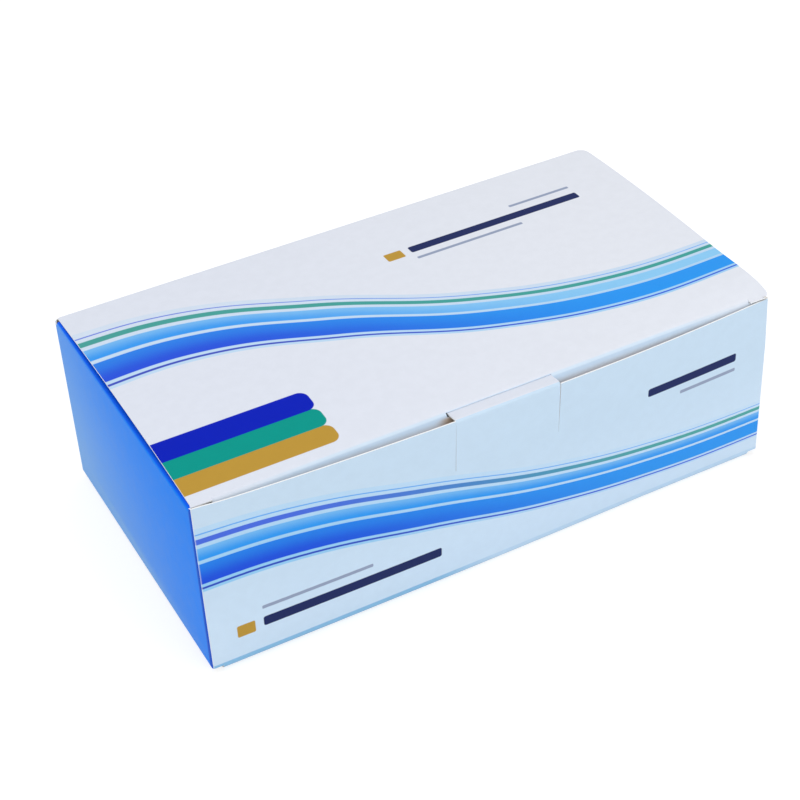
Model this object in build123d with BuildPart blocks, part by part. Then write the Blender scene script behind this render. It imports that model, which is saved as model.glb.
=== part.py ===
import os
from math import cos, degrees, radians, sin, sqrt, tan

from build123d import *

os.makedirs("parts", exist_ok=True)

# Closed outside size: X runs along the front, the front faces -Y, Z is up
length = 220.0
width = 120.0
height = 71.0
board = 0.5

# Folds, by their outside radius
corner_fold = 1.0
corner_foot = 2.6
foot_fold = 3.0
dust_fold = 1.2

# Front panel: its free upper edge bows outward, its foot is straight
front_bow = 4.4
front_drop = 1.1

# Lid panel and its rolled tuck flap
lid_inset_left = 1.0
lid_inset_right = 0.1
lid_camber = 1.8
lid_overhang = 0.2
lid_corner_left = 0.8
lid_corner_right = 4.5
roll_radius = 2.3
tuck_lean = 5.5
tuck_depth = 17.0
tuck_end_inset = 2.0
tuck_corner = 8.0
slit_lock = 8.5
slit_gap = 0.2
hinge_gap = 0.05
tuck_clearance = 0.3

# Dust flaps folded in from the two ends
dust_depth = 48.0
dust_front_gap = 3.4
dust_back_gap = 2.0
dust_taper = 5.0
dust_corner = 6.0
dust_clearance = 0.15

# Lock tab cut in the front panel, its tongue passing through the lid's slot
tab_centre = 1.5
tab_width = 39.6
tab_height = 20.6
tab_kerf = 0.3
tab_recess = 0.3
tab_fold = 1.1
tab_drop = 0.35
tongue_reach = 14.0
tongue_taper = 2.0
slot_setback = 2.0
slot_play = 0.6
slot_clearance = 0.13
lip_clearance = 0.2

# Bottom flaps: two long ones that interlock, glued to the two short ones
bottom_corner_gap = 4.0
bottom_taper = 3.0
seam_step = 13.0
seam_run = 16.0
seam_shift = 10.0
seam_gap = 0.5
side_flap_depth = 46.0
side_flap_end = 2.5

# Glue flap lapped inside the back panel
glue_width = 15.0
glue_end = 4.0
glue_chamfer = 6.0

# Derived levels and positions
half_length = length / 2
half_width = width / 2
rim_front = height - front_drop
rim_back = height - board - hinge_gap
side_foot_fold = foot_fold - board
hinge_y = half_width - board / 2
hinge_z = height - board / 2
dust_top = height - board - dust_clearance
dust_bend = dust_top - dust_fold
dust_front = -half_width + dust_front_gap
dust_back = half_width - dust_back_gap
tab_root = rim_front - tab_height

# Four walls with their corner folds: the outside shape less the inside shape
with BuildPart() as carton_body:
    for inset in (0.0, board):
        end_x = half_length - inset
        end_y = half_width - inset
        bend = corner_fold - inset
        for level, bow in ((corner_foot, 0.0), (rim_back, front_bow)):
            with BuildSketch(Plane.XY.offset(level)):
                with BuildLine():
                    Bezier(
                        (-end_x + bend, -end_y),
                        (0, -end_y - 2 * bow),
                        (end_x - bend, -end_y),
                    )
                    CenterArc((end_x - bend, -end_y + bend), bend, -90, 90)
                    Line((end_x, -end_y + bend), (end_x, end_y - bend))
                    CenterArc((end_x - bend, end_y - bend), bend, 0, 90)
                    Line((end_x - bend, end_y), (-end_x + bend, end_y))
                    CenterArc((-end_x + bend, end_y - bend), bend, 90, 90)
                    Line((-end_x, end_y - bend), (-end_x, -end_y + bend))
                    CenterArc((-end_x + bend, -end_y + bend), bend, 180, 90)
                make_face()
        loft(mode=Mode.ADD if inset == 0.0 else Mode.SUBTRACT)

    # Upper edges: the front stands lower than the back, the ends stop at the dust flaps' folds
    front_depth = half_width + front_bow + 2
    with BuildSketch(Plane.XY.offset(rim_front)):
        with Locations((0, -front_depth / 2 - corner_fold)):
            Rectangle(length + 2, front_depth)
    extrude(amount=height, mode=Mode.SUBTRACT)
    with BuildSketch(Plane.XY.offset(dust_bend)):
        dust_mid = (dust_front + dust_back) / 2
        with Locations((-half_length, dust_mid), (half_length, dust_mid)):
            Rectangle(2 * corner_fold, dust_back - dust_front)
    extrude(amount=height, mode=Mode.SUBTRACT)

    # Lower edges: between the corners the walls stop where the bottom flaps fold
    flap_half = half_length - bottom_corner_gap
    side_half = half_width - side_flap_end
    with BuildSketch():
        with Locations((0, -half_width), (0, half_width)):
            Rectangle(2 * flap_half, 2 * corner_fold)
        with Locations((-half_length, 0), (half_length, 0)):
            Rectangle(2 * corner_fold, 2 * side_half)
    extrude(amount=foot_fold, mode=Mode.SUBTRACT)

    # Window in the front panel that holds the lock tab
    with BuildSketch(Plane.XY.offset(tab_root)):
        with Locations((tab_centre, -half_width - front_bow / 2)):
            Rectangle(tab_width + 2 * tab_kerf, front_bow + 4)
    extrude(amount=height, mode=Mode.SUBTRACT)

    # Dust flaps, each a rounded fold and a tapered flap with round corners
    for side in (-1, 1):
        fold_x = side * (half_length - dust_fold)
        with BuildSketch(Plane.XZ.offset(-dust_back)):
            with BuildLine():
                CenterArc((fold_x, dust_bend), dust_fold - board / 2, 90 if side < 0 else 0, 90)
            trace(line_width=board)
        extrude(amount=dust_back - dust_front)
        with BuildSketch(Plane.XY.offset(dust_top - board)) as dust_plan:
            tip_x = side * (half_length - dust_depth)
            with BuildLine():
                Polyline(
                    (fold_x, dust_front),
                    (tip_x, dust_front + dust_taper),
                    (tip_x, dust_back - dust_taper),
                    (fold_x, dust_back),
                    close=True,
                )
            make_face()
            fillet(dust_plan.vertices().group_by(Axis.X)[-1 if side < 0 else 0], dust_corner)
        extrude(amount=board)

    # Long bottom flaps, interlocking along a stepped seam
    flap_foot = half_width - foot_fold
    for side in (-1, 1):
        with BuildSketch(Plane.YZ.offset(-flap_half)):
            with BuildLine():
                CenterArc(
                    (side * flap_foot, foot_fold),
                    foot_fold - board / 2,
                    180 if side < 0 else 270,
                    90,
                )
            trace(line_width=board)
        extrude(amount=2 * flap_half)
        with BuildSketch() as long_flap:
            with BuildLine():
                Polyline(
                    (side * flap_half, side * flap_foot),
                    (side * (flap_half - bottom_taper), side * (seam_gap / 2 - seam_step)),
                    (side * seam_run + seam_shift, side * (seam_gap / 2 - seam_step)),
                    (-side * seam_run + seam_shift, side * (seam_gap / 2 + seam_step)),
                    (-side * (flap_half - bottom_taper), side * (seam_gap / 2 + seam_step)),
                    (-side * flap_half, side * flap_foot),
                    close=True,
                )
            make_face()
        extrude(amount=board)

    # Short bottom flaps, lying on the long ones
    for side in (-1, 1):
        fold_x = side * (half_length - side_foot_fold)
        with BuildSketch(Plane.XZ.offset(-side_half)):
            with BuildLine():
                CenterArc(
                    (fold_x, board + side_foot_fold),
                    side_foot_fold - board / 2,
                    180 if side < 0 else 270,
                    90,
                )
            trace(line_width=board)
        extrude(amount=2 * side_half)
        with BuildSketch(Plane.XY.offset(board)):
            tip_x = side * (half_length - side_flap_depth)
            tip_y = side_half - 0.6 * side_flap_depth
            with BuildLine():
                Polyline(
                    (fold_x, -side_half),
                    (tip_x, -tip_y),
                    (tip_x, tip_y),
                    (fold_x, side_half),
                    close=True,
                )
            make_face()
        extrude(amount=board)

    # Glue flap lapped on the inside of the back panel at the left corner
    glue_left = -half_length + corner_fold
    with BuildSketch(Plane.XZ.offset(-half_width + board)):
        with BuildLine():
            Polyline(
                (glue_left, glue_end),
                (glue_left + glue_width, glue_end + glue_chamfer),
                (glue_left + glue_width, rim_front - glue_end - glue_chamfer),
                (glue_left, rim_front - glue_end),
                close=True,
            )
        make_face()
    extrude(amount=board)

# Lock tab: an upright tongue of the front panel, folded back at the top
tab_scale = 1 - (tab_centre / (half_length - corner_fold)) ** 2
bow_slope = front_bow * tab_scale / (rim_back - corner_foot)
root_y = -half_width - bow_slope * (tab_root - corner_foot) + board / 2
bend_z = height - tab_drop - board / 2
bend_y = -half_width - bow_slope * (bend_z - corner_foot) + board / 2 + tab_recess

# Roll of the lid's front edge, tangent to the cambered panel
lid_start_y = -half_width + tuck_clearance + board + roll_radius
lid_span = hinge_y - lid_start_y
entry_angle = degrees(4 * lid_camber / lid_span)
roll_mid = roll_radius - board / 2
roll_y = lid_start_y + roll_mid * sin(radians(entry_angle))
roll_z = hinge_z - roll_mid * cos(radians(entry_angle))
slot_y = -half_width + slot_setback
slot_under = roll_z + sqrt((roll_radius - board) ** 2 - (slot_y - roll_y) ** 2)

# The tongue slopes down from the fold to pass under the back of the slot
tongue_z = slot_under - slot_clearance - board / 2
tongue_slope = (bend_z - tongue_z) / (slot_y - bend_y)
tip_y = bend_y + tongue_reach
tip_z = bend_z - tongue_slope * tongue_reach

with BuildPart() as lock_tab:
    with BuildSketch(Plane.YZ.offset(tab_centre - tab_width / 2)):
        with BuildLine():
            FilletPolyline((root_y, tab_root), (bend_y, bend_z), (tip_y, tip_z), radius=tab_fold)
        trace(line_width=board)
    extrude(amount=tab_width)
    # The root edge is level with the window's lower edge
    with BuildSketch(Plane.XY.offset(tab_root)):
        with Locations((tab_centre, root_y)):
            Rectangle(tab_width + 2, 4)
    extrude(amount=-2, mode=Mode.SUBTRACT)
    # The tongue narrows towards its tip
    with BuildSketch(Plane.XY.offset(tip_z - 3)):
        for side in (-1, 1):
            edge_x = tab_centre + side * tab_width / 2
            with BuildLine():
                Polyline(
                    (edge_x + side, slot_y),
                    (edge_x, slot_y),
                    (edge_x - side * tongue_taper, tip_y + 1),
                    (edge_x + side, tip_y + 1),
                    close=True,
                )
            make_face()
    extrude(amount=8, mode=Mode.SUBTRACT)

# Lid: cambered panel, rolled front edge and tuck flap in one sheet
lid_left = half_length - lid_inset_left
lid_right = half_length - lid_inset_right
turn_end = 90 + tuck_lean
tuck_y = roll_y - roll_mid * cos(radians(tuck_lean))
tuck_z = roll_z - roll_mid * sin(radians(tuck_lean))
tuck_half = half_length - tuck_end_inset
lug_y = -half_width + lid_overhang
lug_z = hinge_z - (lid_start_y - lug_y) * sin(radians(entry_angle))
slit_z = lug_z - board / 2 - slit_gap
roll_foot = roll_z - 1.2
lip_z = tongue_z - board / 2 - lip_clearance

with BuildPart() as lid:
    with BuildSketch(Plane.YZ.offset(-lid_left)):
        with BuildLine():
            ThreePointArc(
                (hinge_y, hinge_z),
                ((hinge_y + lid_start_y) / 2, hinge_z + lid_camber),
                (lid_start_y, hinge_z),
            )
            CenterArc((roll_y, roll_z), roll_mid, 90 + entry_angle, turn_end - entry_angle)
            Line(
                (tuck_y, tuck_z),
                (
                    tuck_y + tuck_depth * sin(radians(tuck_lean)),
                    tuck_z - tuck_depth * cos(radians(tuck_lean)),
                ),
            )
        trace(line_width=board)
        with Locations((hinge_y, hinge_z)):
            Circle(board / 2)
    extrude(amount=lid_left + lid_right)

    # Slit locks: at both ends the roll is cut away from the flap below it
    for side, lid_half in ((-1, lid_left), (1, lid_right)):
        with BuildSketch(Plane.XY.offset(roll_foot)):
            with Locations((side * (lid_half - slit_lock / 2 + 1), lid_start_y - 3)):
                Rectangle(slit_lock + 2, 6)
        extrude(amount=height - roll_foot + 2, mode=Mode.SUBTRACT)
        with BuildSketch(Plane.YZ.offset(side * lid_half)):
            with BuildLine():
                Line((lid_start_y + 0.1, hinge_z), (lug_y, lug_z))
            trace(line_width=board)
        extrude(amount=-side * slit_lock)
        # Below each lug the flap stands straight up, cut free of the lid
        with BuildSketch(Plane.YZ.offset(side * tuck_half)):
            with BuildLine():
                Line(
                    (tuck_y + (tuck_z - roll_foot + board) * tan(radians(tuck_lean)), roll_foot - board),
                    (tuck_y - (slit_z - tuck_z) * tan(radians(tuck_lean)), slit_z),
                )
            trace(line_width=board)
        extrude(amount=side * (lid_half - slit_lock - tuck_half))

    # The tuck flap is shorter than the lid and has round lower corners
    for side, lid_half in ((-1, lid_left), (1, lid_right)):
        flap_foot_z = tuck_z - tuck_depth * cos(radians(tuck_lean)) - board
        with BuildSketch(Plane.XZ.offset(half_width - tuck_clearance - board - 8)):
            with BuildLine():
                Polyline(
                    (side * (lid_half + 1), roll_foot),
                    (side * tuck_half, roll_foot),
                    (side * tuck_half, flap_foot_z + tuck_corner),
                    (side * (tuck_half - tuck_corner), flap_foot_z),
                    (side * (tuck_half - tuck_corner), flap_foot_z - 1),
                    (side * (lid_half + 1), flap_foot_z - 1),
                    close=True,
                )
            make_face()
            with Locations((side * (tuck_half - tuck_corner), flap_foot_z + tuck_corner)):
                Circle(tuck_corner, mode=Mode.SUBTRACT)
        extrude(amount=12, mode=Mode.SUBTRACT)

    # Slot for the lock tab's tongue along the roll
    with BuildSketch(Plane.XY.offset(lip_z)):
        with Locations((tab_centre, slot_y - 3)):
            Rectangle(tab_width + 2 * slot_play, 6)
    extrude(amount=6, mode=Mode.SUBTRACT)

    # Corners of the panel
    for side, lid_half, radius in ((-1, lid_left, lid_corner_left), (1, lid_right, lid_corner_right)):
        for edge_y, inward in ((lug_y - board, 1), (half_width, -1)):
            with BuildSketch(Plane.XY.offset(lug_z - board)):
                with Locations((side * (lid_half - radius / 2 + 0.5), edge_y + inward * (radius / 2 - 0.5))):
                    Rectangle(radius + 1, radius + 1)
                with Locations((side * (lid_half - radius), edge_y + inward * radius)):
                    Circle(radius, mode=Mode.SUBTRACT)
            extrude(amount=4, mode=Mode.SUBTRACT)

carton_body.part.label = "carton_body"
lock_tab.part.label = "lock_tab"
lid.part.label = "lid"
export_step(carton_body.part, "parts/carton_body.step")
export_step(lock_tab.part, "parts/lock_tab.step")
export_step(lid.part, "parts/lid.step")
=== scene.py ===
import math

import bmesh
import bpy
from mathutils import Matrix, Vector


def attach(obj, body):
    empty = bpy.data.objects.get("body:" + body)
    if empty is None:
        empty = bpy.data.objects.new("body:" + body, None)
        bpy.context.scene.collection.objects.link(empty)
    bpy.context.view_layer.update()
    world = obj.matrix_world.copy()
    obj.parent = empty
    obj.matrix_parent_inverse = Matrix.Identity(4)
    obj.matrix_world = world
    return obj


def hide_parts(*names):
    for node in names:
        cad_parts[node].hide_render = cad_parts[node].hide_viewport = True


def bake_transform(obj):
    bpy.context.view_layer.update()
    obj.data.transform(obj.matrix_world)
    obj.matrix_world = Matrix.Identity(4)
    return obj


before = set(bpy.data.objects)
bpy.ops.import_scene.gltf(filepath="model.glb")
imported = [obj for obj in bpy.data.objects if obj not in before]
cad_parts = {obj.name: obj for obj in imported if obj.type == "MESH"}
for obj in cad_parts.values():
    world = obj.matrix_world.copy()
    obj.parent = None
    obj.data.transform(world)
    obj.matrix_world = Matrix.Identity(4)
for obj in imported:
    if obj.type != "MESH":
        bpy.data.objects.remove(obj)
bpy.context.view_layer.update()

scene = bpy.context.scene
scene.view_settings.view_transform = "Standard"
mm = 0.001
near = 0.02  # how close, in mm, a point has to be to count as on a line
loose = 3 * near  # the same where a fold ends on a slant
merge = 0.002  # points closer than this, in mm, become one
smoothAngle = 32.0  # folds sharper than this, in degrees, stay crisp
clearOf = 20.0  # a face this far, in mm, from the folds tells which side of a sheet is out


# Helpers for modelling: places and sizes are given in millimetres

def clearPick():
    bpy.ops.object.select_all(action="DESELECT")


def openEdit(piece):
    clearPick()
    piece.select_set(True)
    bpy.context.view_layer.objects.active = piece
    bpy.ops.object.mode_set(mode="EDIT")


def closeEdit():
    bpy.ops.object.mode_set(mode="OBJECT")


def at(value, target, reach=near):
    return abs(value - target) < reach


def pickAll():
    bpy.ops.mesh.select_all(action="SELECT")


def mergeAll():
    pickAll()
    bpy.ops.mesh.remove_doubles(threshold=merge * mm)


def pick(piece, kind, test):
    # selects the points, edges or faces that pass the test, a face by its middle
    bpy.ops.mesh.select_mode(type=kind)
    bpy.ops.mesh.select_all(action="DESELECT")
    net = bmesh.from_edit_mesh(piece.data)
    if kind == "VERT":
        found = [point for point in net.verts if test(point.co / mm)]
    elif kind == "EDGE":
        found = [edge for edge in net.edges if all(test(point.co / mm) for point in edge.verts)]
    else:
        found = [face for face in net.faces if test(face.calc_center_median() / mm)]
    if not found:
        raise RuntimeError("nothing to pick on " + piece.name)
    for part in found:
        part.select_set(True)
    if kind == "VERT":
        net.select_flush(True)
    bmesh.update_edit_mesh(piece.data)


def movePoints(piece, offsetFor):
    # moves every point by an offset worked out from its place
    net = bmesh.from_edit_mesh(piece.data)
    for point in net.verts:
        point.co += Vector(offsetFor(*(point.co / mm))) * mm
    bmesh.update_edit_mesh(piece.data)


def startSheet(name, sizeX, sizeY, place):
    clearPick()
    bpy.ops.mesh.primitive_plane_add(size=1.0, location=(0, 0, 0))
    piece = bpy.context.active_object
    piece.name = name
    piece.data.name = name
    openEdit(piece)
    pickAll()
    bpy.ops.transform.resize(value=(sizeX * mm, sizeY * mm, 1))
    bpy.ops.transform.translate(value=Vector(place) * mm)
    return piece


def startEdge(name, left, right, y, z):
    # one edge along X: a plane less its two back points
    depth = 2.0
    piece = startSheet(name, right - left, depth, ((left + right) / 2, y + depth / 2, z))
    pick(piece, "VERT", lambda p: p.y > y + depth / 2)
    bpy.ops.mesh.delete(type="VERT")
    return piece


def pull(piece, test, offset):
    # extrudes the edges that pass the test
    pick(piece, "EDGE", test)
    bpy.ops.mesh.extrude_edges_move(TRANSFORM_OT_translate={"value": Vector(offset) * mm})


def foldRound(piece, test, centre, axis, turn, steps):
    # spins the edges that pass the test round a fold's centre line, counter-clockwise about the axis
    pick(piece, "EDGE", test)
    bpy.ops.mesh.spin(
        steps=steps,
        angle=math.radians(-turn),
        center=Vector(centre) * mm,
        axis=axis,
        use_auto_merge=False,
    )


def cutAcross(piece, place, direction, test=lambda p: True):
    # cuts the faces that pass the test along a plane
    pick(piece, "FACE", test)
    bpy.ops.mesh.bisect(plane_co=Vector(place) * mm, plane_no=direction, threshold=0.1 * near * mm)


def shiftPoints(piece, test, offset):
    pick(piece, "VERT", test)
    bpy.ops.transform.translate(value=Vector(offset) * mm)


def roundPoints(piece, test, radius, steps):
    pick(piece, "VERT", test)
    bpy.ops.mesh.bevel(offset=radius * mm, segments=steps, affect="VERTICES", profile=0.5)


def dropFaces(piece, test):
    pick(piece, "FACE", test)
    bpy.ops.mesh.delete(type="FACE")


def thicken(piece, board, faceTest, direction):
    # merges the sheet, turns it outward and gives it the board's thickness inward
    mergeAll()
    bpy.ops.mesh.normals_make_consistent(inside=False)
    net = bmesh.from_edit_mesh(piece.data)
    net.faces.ensure_lookup_table()
    sample = next(face for face in net.faces if faceTest(face.calc_center_median() / mm))
    if sample.normal.dot(Vector(direction)) < 0:
        pickAll()
        bpy.ops.mesh.flip_normals()
    closeEdit()
    outsideCount = len(piece.data.polygons)
    bpy.ops.object.modifier_add(type="SOLIDIFY")
    wall = piece.modifiers[-1]
    wall.thickness = board * mm
    wall.offset = -1
    wall.use_rim = True
    bpy.ops.object.modifier_apply(modifier=wall.name)
    bpy.ops.object.shade_smooth_by_angle(angle=math.radians(smoothAngle))
    return outsideCount


def dressSheet(piece, outsideCount, outsideFor, printed):
    # outside faces by panel, then the inside of the board, then its cut edge
    names = list(printed) + ["insideBoard", "cutEdge"]
    for name in names:
        piece.data.materials.append(bpy.data.materials[name])
    for index, face in enumerate(piece.data.polygons):
        if index < outsideCount:
            face.material_index = names.index(outsideFor(face.center / mm, face.normal))
        elif index < 2 * outsideCount:
            face.material_index = len(printed)
        else:
            face.material_index = len(printed) + 1


# Helpers for node trees

def ink(red, green, blue):
    # screen colour, 0 to 255, as Blender's linear colour
    def toLinear(value):
        value = value / 255
        return value / 12.92 if value <= 0.04045 else ((value + 0.055) / 1.055) ** 2.4
    return (toLinear(red), toLinear(green), toLinear(blue), 1.0)


def feed(tree, socket, value):
    if isinstance(value, bpy.types.NodeSocket):
        tree.links.new(value, socket)
    else:
        socket.default_value = value


def calc(tree, operation, *values, clamp=False):
    node = tree.nodes.new("ShaderNodeMath")
    node.operation = operation
    node.use_clamp = clamp
    for socket, value in zip(node.inputs, values):
        feed(tree, socket, value)
    return node.outputs[0]


def multiply(tree, first, second):
    return calc(tree, "MULTIPLY", first, second)


def calcVector(tree, operation, *values, out=0):
    node = tree.nodes.new("ShaderNodeVectorMath")
    node.operation = operation
    for socket, value in zip(node.inputs, values):
        feed(tree, socket, value)
    return node.outputs[out]


def remap(tree, value, low, high, toLow=0.0, toHigh=1.0, smooth=True):
    node = tree.nodes.new("ShaderNodeMapRange")
    node.interpolation_type = "SMOOTHSTEP" if smooth else "LINEAR"
    feed(tree, node.inputs[0], value)
    for socket, limit in zip(node.inputs[1:5], (low, high, toLow, toHigh)):
        feed(tree, socket, limit)
    return node.outputs[0]


def ramp(tree, value, limits, toLow=0.0, toHigh=1.0, smooth=True):
    # as remap, between two limits in millimetres
    return remap(tree, value, limits[0] * mm, limits[1] * mm, toLow, toHigh, smooth)


def splitPlace(tree, place):
    node = tree.nodes.new("ShaderNodeSeparateXYZ")
    tree.links.new(place, node.inputs[0])
    return node.outputs


def layer(tree, under, over, mask, blendType="MIX"):
    node = tree.nodes.new("ShaderNodeMix")
    node.data_type = "RGBA"
    node.blend_type = blendType
    feed(tree, node.inputs[0], mask)
    feed(tree, node.inputs[6], under)
    feed(tree, node.inputs[7], over)
    return node.outputs[2]


def newGroup(name, inputs, outputs):
    tree = bpy.data.node_groups.new(name, "ShaderNodeTree")
    for label, kind, value in inputs:
        socket = tree.interface.new_socket(name=label, in_out="INPUT", socket_type=kind)
        if value is not None:
            socket.default_value = value
    for label, kind in outputs:
        tree.interface.new_socket(name=label, in_out="OUTPUT", socket_type=kind)
    source = tree.nodes.new("NodeGroupInput")
    sink = tree.nodes.new("NodeGroupOutput")
    return tree, source.outputs, sink.inputs


def useGroup(tree, name, **values):
    node = tree.nodes.new("ShaderNodeGroup")
    node.node_tree = bpy.data.node_groups[name]
    for label, value in values.items():
        feed(tree, node.inputs[label], value)
    return node.outputs


number = "NodeSocketFloat"
vector = "NodeSocketVector"


# Sizes of the folded carton, in millimetres

carton = {
    "length": 220.0, "width": 120.0, "height": 71.0, "board": 0.5,
    "cornerFold": 1.0, "cornerFoot": 2.6, "footFold": 3.0,
    "frontBow": 4.4, "frontDrop": 1.1, "hingeGap": 0.05,
    "tabCentre": 1.35, "tabWidth": 39.3, "tabHeight": 20.6,
    "lidLeft": -108.8, "lidRight": 109.9, "cornerLeft": 0.8, "cornerRight": 4.5,
    "dustFold": 1.2, "dustClearance": 0.15,
}
board = carton["board"]
halfX = carton["length"] / 2
halfY = carton["width"] / 2
rimFront = carton["height"] - carton["frontDrop"]
rimBack = carton["height"] - board - carton["hingeGap"]
creaseFoot = carton["height"] - board - carton["dustClearance"] - carton["dustFold"]
tabRoot = rimFront - carton["tabHeight"]
tabLeft = carton["tabCentre"] - carton["tabWidth"] / 2
tabRight = carton["tabCentre"] + carton["tabWidth"] / 2


# Shared effects of the printed board: scales per metre, limits of a mask, and how strongly each shows

grains = {
    "fine": {"scale": 2600.0, "detail": 2.0, "rough": 0.6},
    "wave": {"scale": 38.0, "detail": 3.0, "rough": 0.5},
    "mottle": {"scale": 260.0, "detail": 3.0, "rough": 0.55, "low": 0.25, "high": 0.75},
    "rubAndPaintedLight": {"scale": 420.0, "detail": 4.0, "rough": 0.65, "low": 0.42, "high": 0.68},
    "speck": {"scale": 1500.0, "detail": 3.0, "rough": 0.6, "low": 0.6, "high": 0.72},
    "cloud": {"scale": 240.0, "detail": 5.0, "rough": 0.65, "low": 0.3, "high": 0.7},
    "fibreAndGapShade": {"scale": 1800.0, "detail": 3.0, "rough": 0.6, "low": 0.35, "high": 0.7},
}
effects = {
    "fineShare": 0.35, "glossSpread": 0.16, "darkest": 0.975, "speckCover": 0.5, "bumpDistance": 0.0004,
}
patchSoft = 0.00025  # soft edge of a printed patch, in metres


def noise(tree, place, name):
    node = tree.nodes.new("ShaderNodeTexNoise")
    feed(tree, node.inputs["Vector"], place)
    for label, key in (("Scale", "scale"), ("Detail", "detail"), ("Roughness", "rough")):
        node.inputs[label].default_value = grains[name][key]
    return node.outputs["Fac"]


def noiseMask(tree, value, name, toLow=0.0):
    return remap(tree, value, grains[name]["low"], grains[name]["high"], toLow, 1.0)


def makeBoardFace():
    # fine grain, faint waviness and uneven gloss of coated carton board
    tree, given, sink = newGroup(
        "boardFace",
        [("Place", vector, None), ("Gloss", number, 0.4)],
        [("Rough", number), ("Height", number), ("Tone", number)],
    )
    fine, broad, mottle = [noise(tree, given["Place"], name) for name in ("fine", "wave", "mottle")]
    height = calc(tree, "MULTIPLY_ADD", fine, effects["fineShare"], broad)
    patchy = calc(tree, "SUBTRACT", mottle, 0.5)
    uneven = calc(tree, "MULTIPLY_ADD", patchy, effects["glossSpread"], given["Gloss"])
    tree.links.new(uneven, sink["Rough"])
    tree.links.new(height, sink["Height"])
    tree.links.new(noiseMask(tree, mottle, "mottle", effects["darkest"]), sink["Tone"])


boxInputs = [("Place", vector, None), ("Centre", vector, None), ("Half", vector, None)]


def fromCentre(tree, given):
    return calcVector(tree, "ABSOLUTE", calcVector(tree, "SUBTRACT", given["Place"], given["Centre"]))


def makeFoldWear():
    # ink rubbed thin along the outside folds: two coordinates near their outer limits at once
    tree, given, sink = newGroup("foldWear", boxInputs + [("Reach", number, 0.0011)], [("Mask", number)])
    inset = calcVector(tree, "SUBTRACT", given["Half"], fromCentre(tree, given))
    sides = splitPlace(tree, inset)
    nearX, nearY, nearZ = [remap(tree, side, 0.0, given["Reach"], 1.0, 0.0) for side in sides]
    upright = multiply(tree, nearX, nearY)
    along = multiply(tree, nearZ, calc(tree, "MAXIMUM", nearX, nearY))
    edge = calc(tree, "MAXIMUM", upright, along)
    rubAndPaintedLight = noiseMask(tree, noise(tree, given["Place"], "rubAndPaintedLight"), "rubAndPaintedLight")
    tree.links.new(multiply(tree, edge, rubAndPaintedLight), sink["Mask"])


def makeRibbonBand():
    # band between two levels, with the share of the way across it
    tree, given, sink = newGroup(
        "ribbonBand",
        [("Across", number, 0.0), ("Low", number, 0.0), ("High", number, 0.0), ("Soft", number, 0.0004)],
        [("Mask", number), ("Share", number)],
    )
    overLow = calc(tree, "SUBTRACT", given["Across"], given["Low"])
    underHigh = calc(tree, "SUBTRACT", given["High"], given["Across"])
    depth = calc(tree, "MINIMUM", overLow, underHigh)
    mask = calc(tree, "DIVIDE", depth, given["Soft"], clamp=True)
    span = calc(tree, "MAXIMUM", calc(tree, "SUBTRACT", given["High"], given["Low"]), 0.0001)
    tree.links.new(mask, sink["Mask"])
    tree.links.new(calc(tree, "DIVIDE", overLow, span), sink["Share"])


def makeRoundPatch():
    # bar or rectangle with round corners, by its centre, its half size less the corner, and the corner
    tree, given, sink = newGroup("roundPatch", boxInputs + [("Round", number, 0.001)], [("Mask", number)])
    outside = calcVector(tree, "SUBTRACT", fromCentre(tree, given), given["Half"])
    reach = calcVector(tree, "LENGTH", calcVector(tree, "MAXIMUM", outside, (0.0, 0.0, 0.0)), out=1)
    depth = calc(tree, "SUBTRACT", given["Round"], reach)
    tree.links.new(calc(tree, "MULTIPLY_ADD", depth, 1.0 / patchSoft, 0.5, clamp=True), sink["Mask"])


makeBoardFace()
makeFoldWear()
makeRibbonBand()
makeRoundPatch()
print("shared print and board effects made")


# Inks, as they look on the coated board
screenInks = {
    "lidWhite": (225, 230, 242),
    # painted cool shade: the front's white board tinted pale blue, a little darker higher up, for the light
    # that falls on the front
    "frontCoolShade": (210, 231, 250),
    "frontUpperCoolShade": (203, 225, 244),
    # painted highlight and painted shade on the tuck flap where it rolls over and drops into the gap
    "rollPale": (214, 231, 248),
    "flapPale": (194, 215, 237),
    "flapGrey": (204, 208, 217),
    "footBlue": (143, 195, 232),
    "endBlue": (16, 134, 250),
    # painted sheen: paler blue standing for the pale surroundings reflected in the ends
    "endSheen": (122, 177, 239),
    # painted shade: the blue print deepened under the lid's edge and along the rounded front fold
    "foldBlue": (0, 98, 246),
    "foldDeep": (0, 84, 206),
    "royal": (4, 70, 222),
    "deep": (2, 30, 186),
    "azure": (28, 150, 244),
    "sky": (140, 204, 246),
    "mist": (186, 220, 247),
    "teal": (2, 152, 140),
    "gold": (190, 150, 60),
    "navy": (28, 40, 92),
    "slate": (150, 162, 188),
    "bare": (240, 241, 243),
    # painted brownish shade for the gap beside the tongue; the grain of the same name is the cut edge's real
    # fibre
    "fibreAndGapShade": (176, 150, 122),
    "boardGrey": (207, 200, 189),
    "boardPale": (212, 206, 196),
    "speck": (150, 136, 118),
    "edgeShade": (243, 246, 251),
    "edgeWhite": (252, 254, 255),
}
inks = {name: ink(*colour) for name, colour in screenInks.items()}


finishes = {
    "lidPrint": {"rough": 0.4, "specular": 0.05, "bump": 0.05},
    "frontPrint": {"rough": 0.4, "specular": 0.08, "bump": 0.05},
    "endPrint": {"rough": 0.5, "specular": 0.08, "bump": 0.05},
    "plainPrint": {"rough": 0.42, "specular": 0.15, "bump": 0.05},
    "insideBoard": {"rough": 0.8, "specular": 0.3, "bump": 0.2},
    "cutEdge": {"rough": 0.85, "specular": 0.3, "bump": 0.2},
}


def newFinish(name):
    material = bpy.data.materials.new(name)
    material.use_nodes = True
    tree = material.node_tree
    return tree, tree.nodes.new("ShaderNodeTexCoord").outputs["Object"]


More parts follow.
